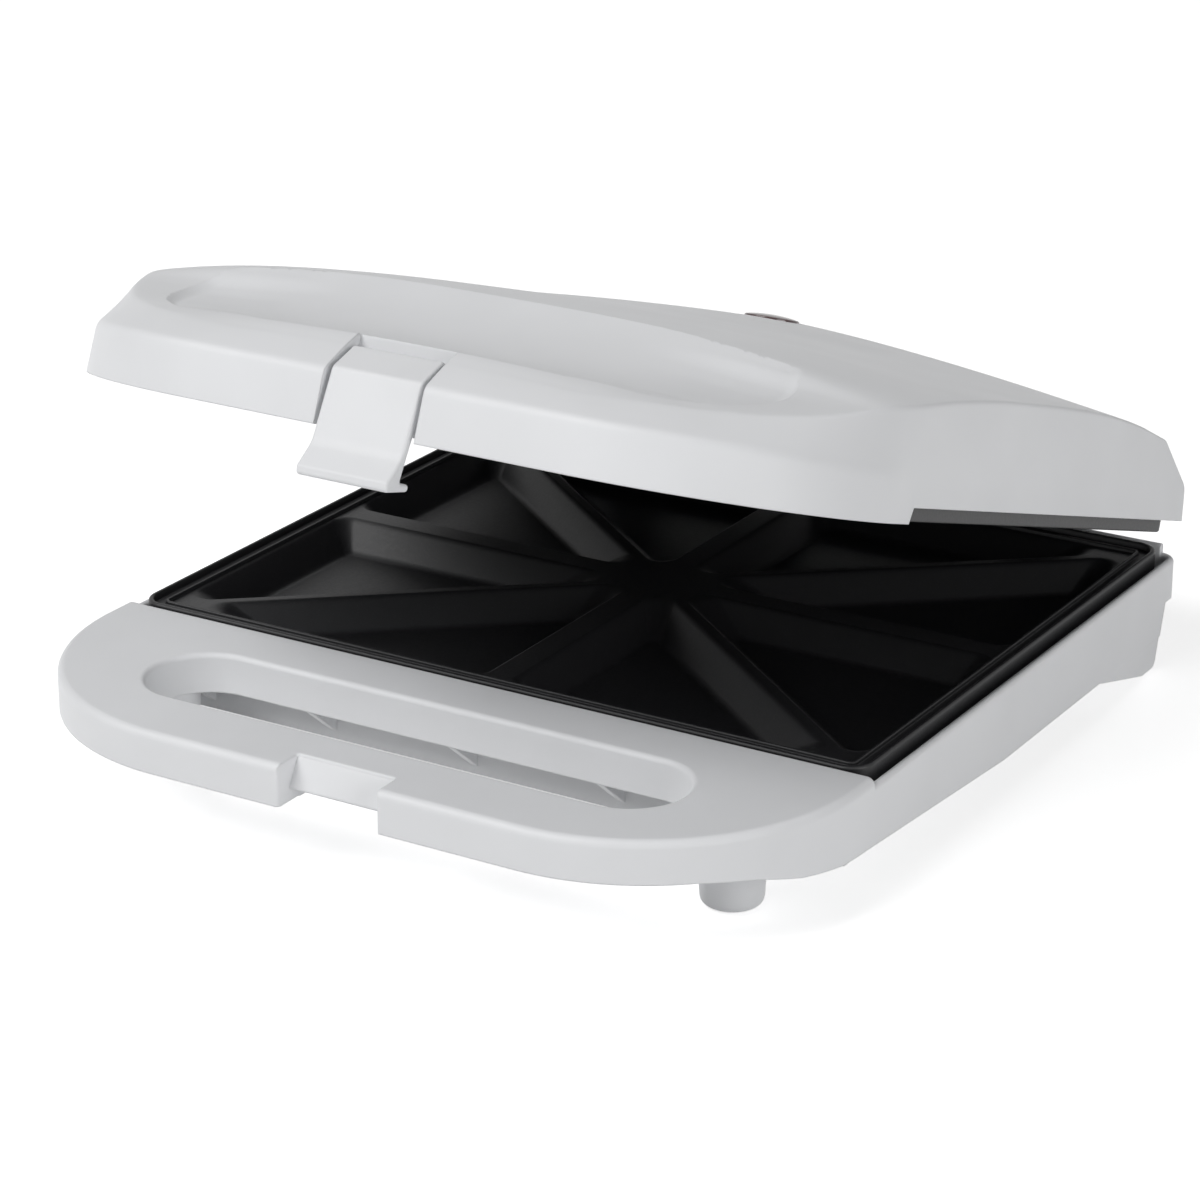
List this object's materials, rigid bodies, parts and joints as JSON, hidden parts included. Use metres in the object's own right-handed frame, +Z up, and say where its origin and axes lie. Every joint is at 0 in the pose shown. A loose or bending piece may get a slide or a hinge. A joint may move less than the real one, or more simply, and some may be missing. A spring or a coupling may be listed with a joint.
{
  "type": "sandwich toaster",
  "caption": "Sandwich toaster with hinged domed lid, scooped front, latch clip, carry handle and diagonal-ridged non-stick plates.",
  "frame": {"origin": "centre of the bounding box's bottom face, on the table under the toaster, with the lid part-open as stored", "axes": "-Y is the front with the handle and latch, +Y the hinge side, +Z up, +X the toaster's right as seen from its front"},
  "size_m": [0.273, 0.3192, 0.1576],
  "materials": {
    "white_plastic": "smooth glossy white moulding",
    "nonstick_aluminium": "satin black non-stick coating",
    "zinc_steel": "zinc-plated",
    "tray_sheet": "bright sheet",
    "element_sheath": "dark oxidised sheath",
    "bead_ceramic": "unglazed",
    "thermostat_body": "unglazed disc with steel cap",
    "fuse_brass": "satin",
    "terminal_nylon": "matte moulding",
    "bushing_rubber": "soft light grey moulding",
    "pad_rubber": "matte",
    "lead_sleeve": "braided glass-fibre sleeve",
    "lens_plastic": "dark red translucent moulding",
    "lamp_glass": "small neon lamp"
  },
  "bodies": {
    "base": {"base_housing": "white_plastic", "foot_pads": "pad_rubber", "service_cover": "white_plastic", "service_cover_screws": "zinc_steel", "lower_plate": "nonstick_aluminium", "lower_plate_screws": "zinc_steel", "lower_reflector": "tray_sheet", "lower_element": "element_sheath", "lower_element_ceramics": "bead_ceramic", "lower_element_clamps": "tray_sheet", "lower_clamp_screws": "zinc_steel", "thermostat": "thermostat_body", "thermal_fuse": "fuse_brass", "terminal_block": "terminal_nylon", "cord_bushing": "bushing_rubber", "base_leads": "lead_sleeve", "hinge_pins": "zinc_steel", "hinge_pin_clips": "zinc_steel"},
    "lid": {"lid_shell": "white_plastic", "hinge_knuckles": "white_plastic", "hinge_knuckle_screws": "zinc_steel", "upper_plate": "nonstick_aluminium", "upper_plate_screws": "zinc_steel", "upper_reflector": "tray_sheet", "upper_element": "element_sheath", "upper_element_ceramics": "bead_ceramic", "upper_element_clamps": "tray_sheet", "upper_clamp_screws": "zinc_steel", "plate_straps": "tray_sheet", "spring_clips": "tray_sheet", "latch_bracket": "white_plastic", "latch_pin": "zinc_steel", "indicator_lens": "lens_plastic", "lamp_holder": "terminal_nylon", "indicator_lamps": "lamp_glass", "lid_leads": "lead_sleeve"},
    "latch": {"latch_clip": "white_plastic"}
  },
  "joints": [
    {"name": "lid_hinge", "type": "hinge", "parent": "base", "child": "lid", "pos_m": [0, 0.15275, 0.0363], "axis": [-1, 0, 0], "range_deg": [-18.5, 80]},
    {"name": "latch_hinge", "type": "hinge", "parent": "lid", "child": "latch", "pos_m": [0, -0.12088, 0.15074], "axis": [-1, 0, 0], "range_deg": [0, 28]}
  ]
}
